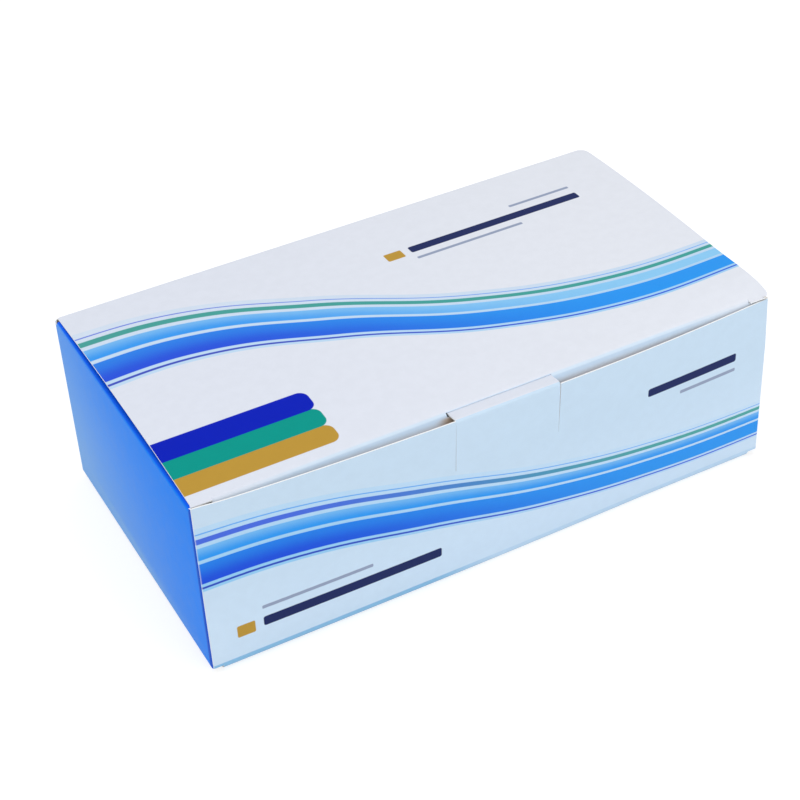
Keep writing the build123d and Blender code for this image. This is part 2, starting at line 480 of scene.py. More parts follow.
def boardSurface(tree, place, colour, name):
    finish = finishes[name]
    shader = tree.nodes["Principled BSDF"]
    shader.inputs["Roughness"].default_value = finish["rough"]
    shader.inputs["Specular IOR Level"].default_value = finish["specular"]
    face = useGroup(tree, "boardFace", Place=place, Gloss=finish["rough"])
    toned = layer(tree, colour, face["Tone"], 1.0, "MULTIPLY")
    tree.links.new(toned, shader.inputs["Base Color"])
    tree.links.new(face["Rough"], shader.inputs["Roughness"])
    rise = tree.nodes.new("ShaderNodeBump")
    rise.inputs["Strength"].default_value = finish["bump"]
    rise.inputs["Distance"].default_value = effects["bumpDistance"]
    tree.links.new(face["Height"], rise.inputs["Height"])
    tree.links.new(rise.outputs[0], shader.inputs["Normal"])


def edgeLine(tree, along, points, span, rise):
    # a smooth line through a few points, in mm, as a level in metres
    node = tree.nodes.new("ShaderNodeFloatCurve")
    curve = node.mapping.curves[0]
    while len(curve.points) < len(points):
        curve.points.new(0.5, 0.5)
    for spot, (x, level) in zip(curve.points, points):
        spot.location = ((x - span[0]) / (span[1] - span[0]), (level - rise[0]) / (rise[1] - rise[0]))
        spot.handle_type = "AUTO"
    node.mapping.use_clip = False
    node.mapping.update()
    share = ramp(tree, along, span, smooth=False)
    tree.links.new(share, node.inputs["Value"])
    return calc(tree, "MULTIPLY_ADD", node.outputs[0], (rise[1] - rise[0]) * mm, rise[0] * mm)


def flatPlace(tree, place, across):
    # the panel's own two coordinates: along X, and Y or Z across it
    parts = splitPlace(tree, place)
    join = tree.nodes.new("ShaderNodeCombineXYZ")
    tree.links.new(parts[0], join.inputs[0])
    tree.links.new(parts[across], join.inputs[1])
    return parts[0], parts[across], join.outputs[0]


# Bands side by side: each one's low and high level across the flow, where the flow's width is 1
bandLevels = [(-14, 14), (-12.8, -11.6), (-10.6, -1.4), (-0.2, 5.4), (6.8, 9.4), (10.8, 11.6)]
bandSoft = 0.3
bandTurn = 0.6  # how far the upper ink comes in at the high level
bandTurnFrom = 0.1  # share of the way across where it begins
panelSpan = (-halfX, halfX)
widthSpan = (0.0, 2.0)


def printBands(tree, colour, along, across, flow):
    # along one centre line, closing up where the flow narrows
    centre = edgeLine(tree, along, flow["centre"], panelSpan, flow["rise"])
    width = edgeLine(tree, along, flow["width"], panelSpan, widthSpan)
    aside = calc(tree, "DIVIDE", calc(tree, "SUBTRACT", across, centre), width)
    run = ramp(tree, along, flow["run"])
    for (low, high), band in zip(bandLevels, flow["bands"]):
        shape = useGroup(tree, "ribbonBand", Across=aside, Low=low, High=high, Soft=bandSoft)
        shade = layer(tree, inks[band["left"]], inks[band["right"]], run)
        if "upper" in band:
            turned = multiply(tree, remap(tree, shape["Share"], bandTurnFrom, 1.0), bandTurn)
            shade = layer(tree, shade, inks[band["upper"]], turned)
        colour = layer(tree, colour, shade, multiply(tree, shape["Mask"], band["cover"]))
    return colour


def printPatches(tree, colour, flat, patches):
    for patch in patches:
        left, right, low, high = patch["box"]
        corner = patch["round"]
        shape = useGroup(
            tree,
            "roundPatch",
            Place=flat,
            Centre=((left + right) / 2 * mm, (low + high) / 2 * mm, 0.0),
            Half=(((right - left) / 2 - corner) * mm, ((high - low) / 2 - corner) * mm, 0.0),
            Round=corner * mm,
        )
        colour = layer(tree, colour, inks[patch["ink"]], shape["Mask"])
    return colour


# Print of the lid panel: millimetres along X and along Y

lidPrint = {
    # levels of the tuck flap's painted highlight and painted shade, and how they fade towards its ends
    "paler": 0.3, "front": (-50.0, -40.0), "roll": (70.5, 70.95),
    "flap": (70.0, 70.4), "flapTone": (68.0, 70.0), "flapRun": (62.0, 98.0), "flapEnds": 0.35,
    # painted shade in the gap beside the tongue: its levels, place, reach and strength
    "rubAndPaintedLight": (69.2, 70.2), "gapShadeAt": -18.6, "gapShadeReach": 6.0, "paintedLightCover": 0.85,
    "flow": {
        "centre": [(-110, 27), (-75, 25), (-30, 8), (20, -17), (65, -29), (110, -31)],
        "width": [(-110, 1.35), (-30, 1.1), (40, 0.85), (110, 0.75)],
        "rise": (-60.0, 60.0), "run": (-80, 90),
        "bands": [
            {"left": "mist", "right": "sky", "upper": "lidWhite", "cover": 0.8},
            {"left": "deep", "right": "royal", "cover": 0.9},
            {"left": "royal", "right": "azure", "upper": "azure", "cover": 0.96},
            {"left": "azure", "right": "sky", "upper": "sky", "cover": 0.95},
            {"left": "teal", "right": "teal", "cover": 0.9},
            {"left": "royal", "right": "azure", "cover": 0.8},
        ],
    },
    "patches": [
        {"box": (-116, -54, -53.2, -44.2), "ink": "gold", "round": 3.4},
        {"box": (-116, -54, -44.5, -34.9), "ink": "teal", "round": 3.4},
        {"box": (-116, -54, -35.4, -25.4), "ink": "deep", "round": 3.4},
        {"box": (6, 13, 27, 32), "ink": "gold", "round": 0.6},
        {"box": (16, 88, 28, 32), "ink": "navy", "round": 0.8},
        {"box": (16, 60, 23.2, 24.6), "ink": "slate", "round": 0.4},
        {"box": (62, 88, 36.0, 37.4), "ink": "slate", "round": 0.4},
    ],
}


def makeLidPrint():
    look = lidPrint
    tree, place = newFinish("lidPrint")
    along, across, flat = flatPlace(tree, place, 1)
    level = splitPlace(tree, place)[2]
    sweep = ramp(tree, along, panelSpan)
    colour = layer(tree, inks["lidWhite"], inks["bare"], multiply(tree, sweep, look["paler"]))
    # painted light on the tuck flap: a pale blue painted highlight where it rolls over, then painted shade,
    # pale blue turning grey-white further down towards the gap at the front panel, all less so towards its
    # ends
    fromMiddle = calc(tree, "ABSOLUTE", along)
    ends = ramp(tree, fromMiddle, look["flapRun"], 1.0, look["flapEnds"])
    front = multiply(tree, ends, ramp(tree, across, look["front"], 1.0, 0.0))
    roll = ramp(tree, level, look["roll"], 1.0, 0.0)
    colour = layer(tree, colour, inks["rollPale"], multiply(tree, roll, front))
    flap = ramp(tree, level, look["flap"], 1.0, 0.0)
    flapShadeInk = layer(tree, inks["flapGrey"], inks["flapPale"], ramp(tree, level, look["flapTone"]))
    colour = layer(tree, colour, flapShadeInk, multiply(tree, flap, front))
    # painted shade: a brownish shade on the flap in the gap beside the tongue's left edge, stronger lower
    # down
    aside = calc(tree, "ABSOLUTE", calc(tree, "SUBTRACT", along, look["gapShadeAt"] * mm))
    paintedLightMask = ramp(tree, aside, (0.0, look["gapShadeReach"]), look["paintedLightCover"], 0.0)
    lower = ramp(tree, level, look["rubAndPaintedLight"], 1.0, 0.0)
    paintedLightMask = multiply(tree, multiply(tree, paintedLightMask, lower), front)
    colour = layer(tree, colour, inks["fibreAndGapShade"], paintedLightMask)
    colour = printBands(tree, colour, along, across, look["flow"])
    colour = printPatches(tree, colour, flat, look["patches"])
    boardSurface(tree, place, colour, "lidPrint")


# Print of the front panel and its lock tab: millimetres along X and up Z

frontPrint = {
    "tone": (10.0, 50.0), "foot": (3.4, 4.0), "footRun": (-30.0, 0.0), "footRight": 0.3,
    # the pale line along the left fold is a painted highlight
    "rubAndPaintedLight": (-109.8, -109.2), "paintedLightCover": 0.6,
    "flow": {
        "centre": [(-110, 50), (-75, 48.5), (-30, 39), (20, 26), (65, 19), (110, 17)],
        "width": [(-110, 0.95), (-30, 0.85), (40, 0.7), (110, 0.6)],
        "rise": (-20.0, 80.0), "run": (-90, 80),
        "bands": [
            {"left": "sky", "right": "mist", "upper": "frontCoolShade", "cover": 0.85},
            {"left": "deep", "right": "royal", "cover": 0.9},
            {"left": "royal", "right": "azure", "upper": "azure", "cover": 0.96},
            {"left": "azure", "right": "azure", "upper": "sky", "cover": 0.95},
            {"left": "royal", "right": "teal", "cover": 0.85},
            {"left": "azure", "right": "azure", "cover": 0.8},
        ],
    },
    "patches": [
        {"box": (-100, -93.5, 12, 17), "ink": "gold", "round": 0.6},
        {"box": (-90.5, -24, 13, 17), "ink": "navy", "round": 0.8},
        {"box": (-90.5, -50, 20.6, 22.0), "ink": "slate", "round": 0.4},
        {"box": (58, 96, 48.5, 52), "ink": "navy", "round": 0.8},
        {"box": (72, 96, 44.2, 45.6), "ink": "slate", "round": 0.4},
    ],
}


def makeFrontPrint():
    # a darker blue band lies along the foot's fold at the left half, and a pale painted highlight runs along
    # the left fold
    look = frontPrint
    tree, place = newFinish("frontPrint")
    along, across, flat = flatPlace(tree, place, 2)
    # the front's base colour is painted cool shade, pale blue and a little darker higher up
    colour = layer(tree, inks["frontCoolShade"], inks["frontUpperCoolShade"], ramp(tree, across, look["tone"]))
    colour = printBands(tree, colour, along, across, look["flow"])
    colour = printPatches(tree, colour, flat, look["patches"])
    # a darker blue band along the foot's fold, full at the left half and weaker to the right
    low = ramp(tree, across, look["foot"], 1.0, 0.0)
    low = multiply(tree, low, ramp(tree, along, look["footRun"], 1.0, look["footRight"]))
    colour = layer(tree, colour, inks["footBlue"], low)
    # painted highlight: a pale line along the front's left fold
    paintedLightMask = ramp(tree, along, look["rubAndPaintedLight"], look["paintedLightCover"], 0.0)
    colour = layer(tree, colour, inks["bare"], paintedLightMask)
    boardSurface(tree, place, colour, "frontPrint")


# Print of both ends: millimetres, and how much of the painted pale sheen shows

endPrint = {
    "upperSheen": 0.5, "upperPower": 2.4, "lowerSheen": 1.2, "lowPower": 1.25,
    "foot": (2.8, 11.4), "footSheen": 1.2, "wear": 0.3, "wearReach": 0.9,
    "fold": (69.7, 70.2), "foldSide": (106.6, 108.0), "frontFoldShade": (-59.0, -57.7),
}


def makeEndPrint():
    # full blue with a painted pale sheen, strongest low at the back; painted shade in deeper blue over the
    # top fold and at the front fold; rubbed along the folds
    look = endPrint
    tree, place = newFinish("endPrint")
    aside, across, level = splitPlace(tree, place)
    low = ramp(tree, level, (0.0, carton["height"]), 1.0, 0.0, smooth=False)
    back = ramp(tree, across, (-halfY, halfY), smooth=False)
    # painted sheen over the blue, growing towards the back, low down and near the foot
    upperSheen = multiply(tree, calc(tree, "POWER", back, look["upperPower"]), look["upperSheen"])
    lowerSheen = multiply(tree, back, look["lowerSheen"])
    spread = calc(tree, "SUBTRACT", lowerSheen, upperSheen)
    paintedSheen = calc(tree, "MULTIPLY_ADD", spread, calc(tree, "POWER", low, look["lowPower"]), upperSheen)
    foot = ramp(tree, level, look["foot"], look["footSheen"], 0.0)
    paintedSheen = calc(tree, "MULTIPLY_ADD", back, foot, paintedSheen, clamp=True)
    colour = layer(tree, inks["endBlue"], inks["endSheen"], paintedSheen)
    half = Vector((halfX, halfY, carton["height"] / 2)) * mm
    wear = useGroup(
        tree, "foldWear", Place=place, Centre=(0.0, 0.0, half.z), Half=half, Reach=look["wearReach"] * mm
    )
    colour = layer(tree, colour, inks["bare"], multiply(tree, wear["Mask"], look["wear"]))
    # painted shade: deeper blue on the dust flaps' tops under the lid's edge, and along the end's front fold
    over = ramp(tree, level, look["fold"])
    outer = ramp(tree, calc(tree, "ABSOLUTE", aside), look["foldSide"])
    colour = layer(tree, colour, inks["foldBlue"], multiply(tree, over, outer))
    colour = layer(tree, colour, inks["foldDeep"], ramp(tree, across, look["frontFoldShade"], 1.0, 0.0))
    boardSurface(tree, place, colour, "endPrint")


def makePlainPrint():
    tree, place = newFinish("plainPrint")
    boardSurface(tree, place, inks["lidWhite"], "plainPrint")


def makeInsideBoard():
    # uncoated side: pale grey-brown with fibre specks
    tree, place = newFinish("insideBoard")
    specks = noiseMask(tree, noise(tree, place, "speck"), "speck")
    cloud = noiseMask(tree, noise(tree, place, "cloud"), "cloud")
    colour = layer(tree, inks["boardGrey"], inks["boardPale"], cloud)
    colour = layer(tree, colour, inks["speck"], multiply(tree, specks, effects["speckCover"]))
    boardSurface(tree, place, colour, "insideBoard")


def makeCutEdge():
    tree, place = newFinish("cutEdge")
    fibreAndGapShade = noiseMask(tree, noise(tree, place, "fibreAndGapShade"), "fibreAndGapShade")
    colour = layer(tree, inks["edgeShade"], inks["edgeWhite"], fibreAndGapShade)
    boardSurface(tree, place, colour, "cutEdge")


makeLidPrint()
makeFrontPrint()
makeEndPrint()
makePlainPrint()
makeInsideBoard()
makeCutEdge()
print("print and board finishes made")


def frontBulge(x, z):
    # how far the front panel stands out at this place
    rise = (z - carton["cornerFoot"]) / (rimBack - carton["cornerFoot"])
    return carton["frontBow"] * rise * max(1 - (x / (halfX - carton["cornerFold"])) ** 2, 0.0)


# Walls, dust flaps and bottom flaps, with this carton's small departures from square

walls = {
    "kerf": 0.3,
    "bowSteps": 48, "foldSteps": 8, "sideSteps": 6,
    "dustDepth": 48.0, "dustFront": -56.6, "dustBack": 58.0, "dustTaper": 5.0, "dustCorner": 6.0,
    "flapHalf": 106.0, "flapTaper": 3.0, "taperFrom": 90.0, "backCornerFoot": 0.4,
    "seamLow": -13.05, "seamHigh": 12.95, "seamLeft": -6.0, "seamRight": 26.0, "seamGap": 0.1,
    "sideHalf": 57.5, "sideDepth": 46.0, "sideTaper": 27.6,
    "glueWidth": 15.0, "glueEnd": 4.0, "glueChamfer": 6.0,
    "dustNotch": 1.4, "creaseSlit": 0.05, "facesUp": 0.1, "facesDown": -0.94, "facesSide": 0.72,
    "rimLift": 0.2, "rimLiftLeft": 0.92, "rimLeftFrom": 70.0, "rimLeftTo": -40.0,
    "rimLiftCorner": 0.35, "rimCornerFrom": -98.0, "rimCornerTo": -108.0,
    "rightLean": 1.0, "leanFrom": 42.0, "leanPower": 1.5, "leanSpread": 3,
    "footBow": 0.8, "footBowTop": 45.0, "footBowMid": -25.0, "footBowFrom": 30.0, "footBowFade": 25.0,
}


def easeBetween(value, start, end):
    share = min(max((value - start) / (end - start), 0.0), 1.0)
    return share * share * (3 - 2 * share)


def rimRise(x):
    # the front's upper edge stands higher towards the left, most at the corner
    left = walls["rimLiftLeft"] * easeBetween(x, walls["rimLeftFrom"], walls["rimLeftTo"])
    corner = walls["rimLiftCorner"] * easeBetween(x, walls["rimCornerFrom"], walls["rimCornerTo"])
    return walls["rimLift"] + left + corner


def makeWalls():
    # tube of four panels: a plate's outline with round corners, drawn upward
    foot = carton["footFold"]
    bend = carton["cornerFold"]
    earY = -halfY + bend
    earLeft = carton["lidLeft"] + carton["cornerLeft"] - walls["creaseSlit"]
    earRight = carton["lidRight"] - carton["cornerRight"] + walls["creaseSlit"]
    sheet = startSheet("wallSheet", 2 * halfX, 2 * halfY, (0, 0, foot))
    roundPoints(sheet, lambda p: True, bend, walls["foldSteps"])
    pickAll()
    bpy.ops.mesh.delete(type="ONLY_FACE")
    pick(sheet, "EDGE", lambda p: at(p.y, -halfY) and abs(p.x) < halfX - bend + near)
    bpy.ops.mesh.subdivide(number_cuts=walls["bowSteps"] - 1)
    pull(sheet, lambda p: True, (0, 0, creaseFoot - foot))

    # score lines where flaps, window and corner folds begin
    for x in (tabLeft - walls["kerf"], tabRight + walls["kerf"], -walls["flapHalf"], walls["flapHalf"],
              walls["seamLeft"], walls["seamRight"], earLeft, earRight):
        cutAcross(sheet, (x, 0, 0), (1, 0, 0))
    cutAcross(sheet, (0, 0, tabRoot), (0, 0, 1))
    cutAcross(sheet, (0, walls["dustBack"], 0), (0, 1, 0), lambda p: p.z > tabRoot)
    for y in (-walls["sideHalf"], walls["sideHalf"]):
        cutAcross(sheet, (0, y, 0), (0, 1, 0), lambda p: p.z < tabRoot)

    # upper rim: the front and its corners, then the back corners
    pull(sheet, lambda p: p.z > creaseFoot - near and p.y < earY + near, (0, 0, rimFront - creaseFoot))
    pull(
        sheet,
        lambda p: at(p.z, creaseFoot) and p.y > halfY - bend - near
        and not earLeft + near < p.x < earRight - near,
        (0, 0, rimBack - creaseFoot),
    )

    # lower corners reach down between the flaps, furthest at the back right, which they close
    flapHalf = {-1: walls["flapHalf"], 1: halfX - bend}
    for endX, endY in ((-1, -1), (-1, 1), (1, -1), (1, 1)):
        cornerFoot = walls["backCornerFoot"] if endX + endY > 0 else carton["cornerFoot"]
        pull(
            sheet,
            lambda p: at(p.z, foot)
            and p.x * endX > flapHalf[endY] - near and p.y * endY > walls["sideHalf"] - near,
            (0, 0, cornerFoot - foot),
        )
    dropFaces(
        sheet,
        lambda p: p.y < -halfY + near and p.z > tabRoot
        and tabLeft - walls["kerf"] < p.x < tabRight + walls["kerf"],
    )

    # the front's free upper edge bows outward and stands higher towards the left
    def bowFront(x, y, z):
        onFront = y < -halfY + near and z > foot + near and abs(x) < halfX - bend
        onRim = y < earY + near and z > rimFront - near
        return (0, -frontBulge(x, z) if onFront else 0, rimRise(x) if onRim else 0)

    movePoints(sheet, bowFront)

    # dust flaps folded in over both ends
    for side in (-1, 1):
        foldX = side * (halfX - carton["dustFold"])
        tipX = side * (halfX - walls["dustDepth"])
        foldRound(
            sheet,
            lambda p: at(p.z, creaseFoot) and at(p.x, side * halfX)
            and earY - near < p.y < walls["dustBack"] + near,
            (foldX, 0, creaseFoot), (0, 1, 0), -90 * side, walls["foldSteps"],
        )
        flapZ = creaseFoot + carton["dustFold"]
        notchX = foldX - side * walls["dustNotch"]
        pull(sheet, lambda p: at(p.z, flapZ) and at(p.x, foldX), (notchX - foldX, 0, 0))
        shiftPoints(
            sheet,
            lambda p: at(p.z, flapZ) and at(p.x, notchX) and p.y < earY + near,
            (0, walls["dustFront"] - earY, 0),
        )
        pull(sheet, lambda p: at(p.z, flapZ) and at(p.x, notchX), (tipX - notchX, 0, 0))
        for edgeY, step in ((walls["dustFront"], 1), (walls["dustBack"], -1)):
            shiftPoints(
                sheet,
                lambda p: at(p.x, tipX) and at(p.y, edgeY) and p.z > creaseFoot,
                (0, step * walls["dustTaper"], 0),
            )
        roundPoints(
            sheet,
            lambda p: at(p.x, tipX) and p.z > creaseFoot
            and (p.y < walls["dustFront"] + walls["dustTaper"] + near
                 or p.y > walls["dustBack"] - walls["dustTaper"] - near),
            walls["dustCorner"], walls["foldSteps"],
        )

    # long bottom flaps meet along a stepped seam
    for side in (-1, 1):
        lineY = side * (halfY - foot)
        foldRound(
            sheet,
            lambda p: at(p.z, foot) and at(p.y, side * halfY) and abs(p.x) < flapHalf[side] + near,
            (0, lineY, foot), (1, 0, 0), -90 * side, walls["foldSteps"],
        )
        shortY = walls["seamLow"] if side < 0 else walls["seamLow"] + walls["seamGap"]
        longY = walls["seamHigh"] if side < 0 else walls["seamHigh"] + walls["seamGap"]
        firstY, secondY = (shortY, longY) if side < 0 else (longY, shortY)
        pull(sheet, lambda p: at(p.z, 0) and at(p.y, lineY), (0, firstY - lineY, 0))
        seamEnd = walls["seamRight"] if side < 0 else walls["seamLeft"]
        pull(
            sheet,
            lambda p: at(p.z, 0) and at(p.y, firstY) and (p.x - seamEnd) * side > -near,
            (0, secondY - firstY, 0),
        )

        def ontoSeam(x, y, z):
            slant = (x - walls["seamLeft"]) / (walls["seamRight"] - walls["seamLeft"])
            onSlant = at(z, 0) and at(y, secondY) and -near < slant < 1 + near
            return (0, longY + (shortY - longY) * slant - y if onSlant else 0, 0)

        def taperIn(x, y, z):
            depth = (y - lineY) / ((secondY if x * side > 0 else firstY) - lineY)
            share = max((abs(x) - walls["taperFrom"]) / (flapHalf[side] - walls["taperFrom"]), 0.0)
            onFlap = at(z, 0) and near < depth < 1 + near
            return (-math.copysign(walls["flapTaper"] * depth * share, x) if onFlap else 0, 0, 0)

        movePoints(sheet, ontoSeam)
        mergeAll()
        movePoints(sheet, taperIn)

    # short bottom flaps lie on the long ones
    for side in (-1, 1):
        foldX = side * (halfX - (foot - board))
        tipX = side * (halfX - walls["sideDepth"])
        foldRound(
            sheet,
            lambda p: at(p.z, foot) and at(p.x, side * halfX) and abs(p.y) < walls["sideHalf"] + near,
            (foldX, 0, foot), (0, 1, 0), 90 * side, walls["sideSteps"],
        )
        pull(sheet, lambda p: at(p.z, board) and at(p.x, foldX), (tipX - foldX, 0, 0))
        for end in (-1, 1):
            shiftPoints(
                sheet,
                lambda p: at(p.x, tipX) and at(p.y, end * walls["sideHalf"]) and p.z < foot,
                (0, -end * walls["sideTaper"], 0),
            )

    # not quite square: the foot of the front bows a little, the right end leans in at the top
    def outOfSquare(x, y, z):
        aside = x - walls["footBowMid"]
        swell = max(1 - (aside / (halfX - bend - math.copysign(walls["footBowMid"], aside))) ** 2, 0.0)
        low = max(1 - z / walls["footBowTop"], 0.0)
        front = min(max((-y - walls["footBowFrom"]) / walls["footBowFade"], 0.0), 1.0)
        high = max((z - walls["leanFrom"]) / (rimBack - walls["leanFrom"]), 0.0)
        inward = high ** walls["leanPower"] * max(x / halfX, 0.0) ** walls["leanSpread"]
        return (-walls["rightLean"] * inward, -walls["footBow"] * swell * low * front, 0)

    movePoints(sheet, outOfSquare)
    count = thicken(sheet, board, lambda p: p.x < -halfX + near and p.z > clearOf, (-1, 0, 0))

    def panelFor(p, n):
        if p.z > creaseFoot - near and n.z > walls["facesUp"]:
            return "endPrint"
        if n.z < walls["facesDown"]:
            return "plainPrint"
        if abs(n.x) > walls["facesSide"] or (p.z < foot and abs(n.x) > abs(n.y)):
            return "endPrint"
        return "frontPrint" if p.y < 0 else "plainPrint"

    dressSheet(sheet, count, panelFor, ("frontPrint", "endPrint", "plainPrint"))
    return sheet


wallSheet = makeWalls()
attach(wallSheet, "carton")
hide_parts("carton_body")
print("walls and flaps folded")


def makeGlueFlap():
    # lapped on the inside of the back panel at the left corner
    left = -halfX + carton["cornerFold"]
    right = left + walls["glueWidth"]
    low = walls["glueEnd"]
    high = rimFront - walls["glueEnd"]
    sheet = startEdge("glueFlap", left, right, halfY - board - near, low)
    pull(sheet, lambda p: True, (0, 0, high - low))
    for z, step in ((low, 1), (high, -1)):
        shiftPoints(sheet, lambda p: at(p.x, right) and at(p.z, z), (0, 0, step * walls["glueChamfer"]))
    count = thicken(sheet, board, lambda p: True, (0, 1, 0))
    dressSheet(sheet, count, lambda p, n: "plainPrint", ("plainPrint",))
    return sheet


glueFlap = makeGlueFlap()
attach(glueFlap, "carton")
print("glue flap lapped")


# Lid panel and its tuck flap

lid = {
    "hingeInset": 0.25, "camber": 1.8, "tuckClearance": 0.3,
    "backY": 58.4,
    "camberSteps": 28, "rollSteps": 14, "bulgeSteps": 44,
    "rollRadius": 2.3, "flapBulge": 4.0, "bulgeTop": 0.4, "bulgeDepth": 6.5, "bulgePower": 1.7,
    "tuckLean": 5.5, "tuckDepth": 17.0, "tuckHalf": 108.0, "tuckCorner": 8.0, "tuckCornerSteps": 10,
    "slitLeft": 7.0, "slitRight": 8.5, "slitGap": 0.2, "overhang": 0.2,
    "lugLonger": 0.4, "lugShorter": 1.15, "lugCorner": 3.4, "cornerSteps": 6, "cornerZone": 10.0,
    "spring": 1.15, "springY": -50.0, "springFront": 11.0, "springBack": 27.0, "springFrom": 60.0,
    "springCuts": 8, "springCutFrom": 62.0, "springCutStep": 6.0,
    "slotPlay": 0.75, "slotPlayRight": 0.05, "slotY": -58.0, "slotLip": -0.1, "slotFaces": -0.8,
    "slotUnderZ": 70.22, "slotUnderY": -57.73, "slotNearZ": 0.08, "slotNearY": 0.1,
    "dent": 0.5, "dentReach": 3.5, "dentCuts": 3, "dentCutStep": 1.5, "lipDrop": 1.25,
    "rollMargin": 0.05, "rollFootDrop": 1.2, "flapCuts": 3, "flapCutStep": 1.3,
}
top = carton["height"]
hingeY = halfY - lid["hingeInset"]
startY = -halfY + lid["tuckClearance"] + board + lid["rollRadius"]
lidSpan = hingeY - startY
lidMidY = (hingeY + startY) / 2
camberRadius = (lidSpan ** 2 / 4 + lid["camber"] ** 2) / (2 * lid["camber"])
camberZ = top - board / 2 + lid["camber"] - camberRadius
camberOuter = camberRadius + board / 2
entry = 4 * lid["camber"] / lidSpan  # slope of the panel where it meets the roll, in radians
rollMid = lid["rollRadius"] - board / 2
rollY = startY + rollMid * math.sin(entry)
rollZ = top - board / 2 - rollMid * math.cos(entry)
lean = math.radians(lid["tuckLean"])


def camberLevel(y):
    return camberZ + math.sqrt(camberOuter ** 2 - (y - lidMidY) ** 2)


slotLeft = tabLeft - lid["slotPlay"]
slotRight = tabRight + lid["slotPlayRight"]


def flapOut(x, z):
    # below the roll the flap leans out to the bowed front panel, less so where the tongue presses it in
    depth = min(max((top - lid["bulgeTop"] - z) / lid["bulgeDepth"], 0.0), 1.0)
    across = max(1 - (x / (halfX - carton["cornerFold"])) ** 2, 0.0)
    pressed = lid["dent"] * (1 - depth) * math.exp(-((x - slotLeft) / lid["dentReach"]) ** 2)
    return lid["flapBulge"] * (1 - (1 - depth) ** lid["bulgePower"]) * across * (1 - pressed)


def springUp(x, y):
    # the panel stands up a little at the right end, behind the front corner
    reach = lid["springFront"] if y < lid["springY"] else lid["springBack"]
    away = min(abs(y - lid["springY"]) / reach, 1.0)
    return lid["spring"] * math.cos(away * math.pi / 2) ** 2 * easeBetween(x, lid["springFrom"], halfX)


def roundCorner(sheet, endX, edgeY, inward, radius):
    # cuts the sheet's end across in small steps and draws it in to a round corner
    sign = math.copysign(1, endX)
    for step in range(1, lid["cornerSteps"]):
        turn = math.radians(90 / lid["cornerSteps"] * step)
        cutAcross(
            sheet,
            (0, edgeY + inward * radius * (1 - math.sin(turn)), 0), (0, 1, 0),
            lambda p: p.x * sign > halfX - lid["cornerZone"] and p.z > rollZ,
        )

    def drawIn(x, y, z):
        into = min(radius - (y - edgeY) * inward, radius)
        onCorner = at(x, endX) and into > 0 and z > rollZ
        return (sign * (math.sqrt(max(radius ** 2 - into ** 2, 0.0)) - radius) if onCorner else 0, 0, 0)

    movePoints(sheet, drawIn)


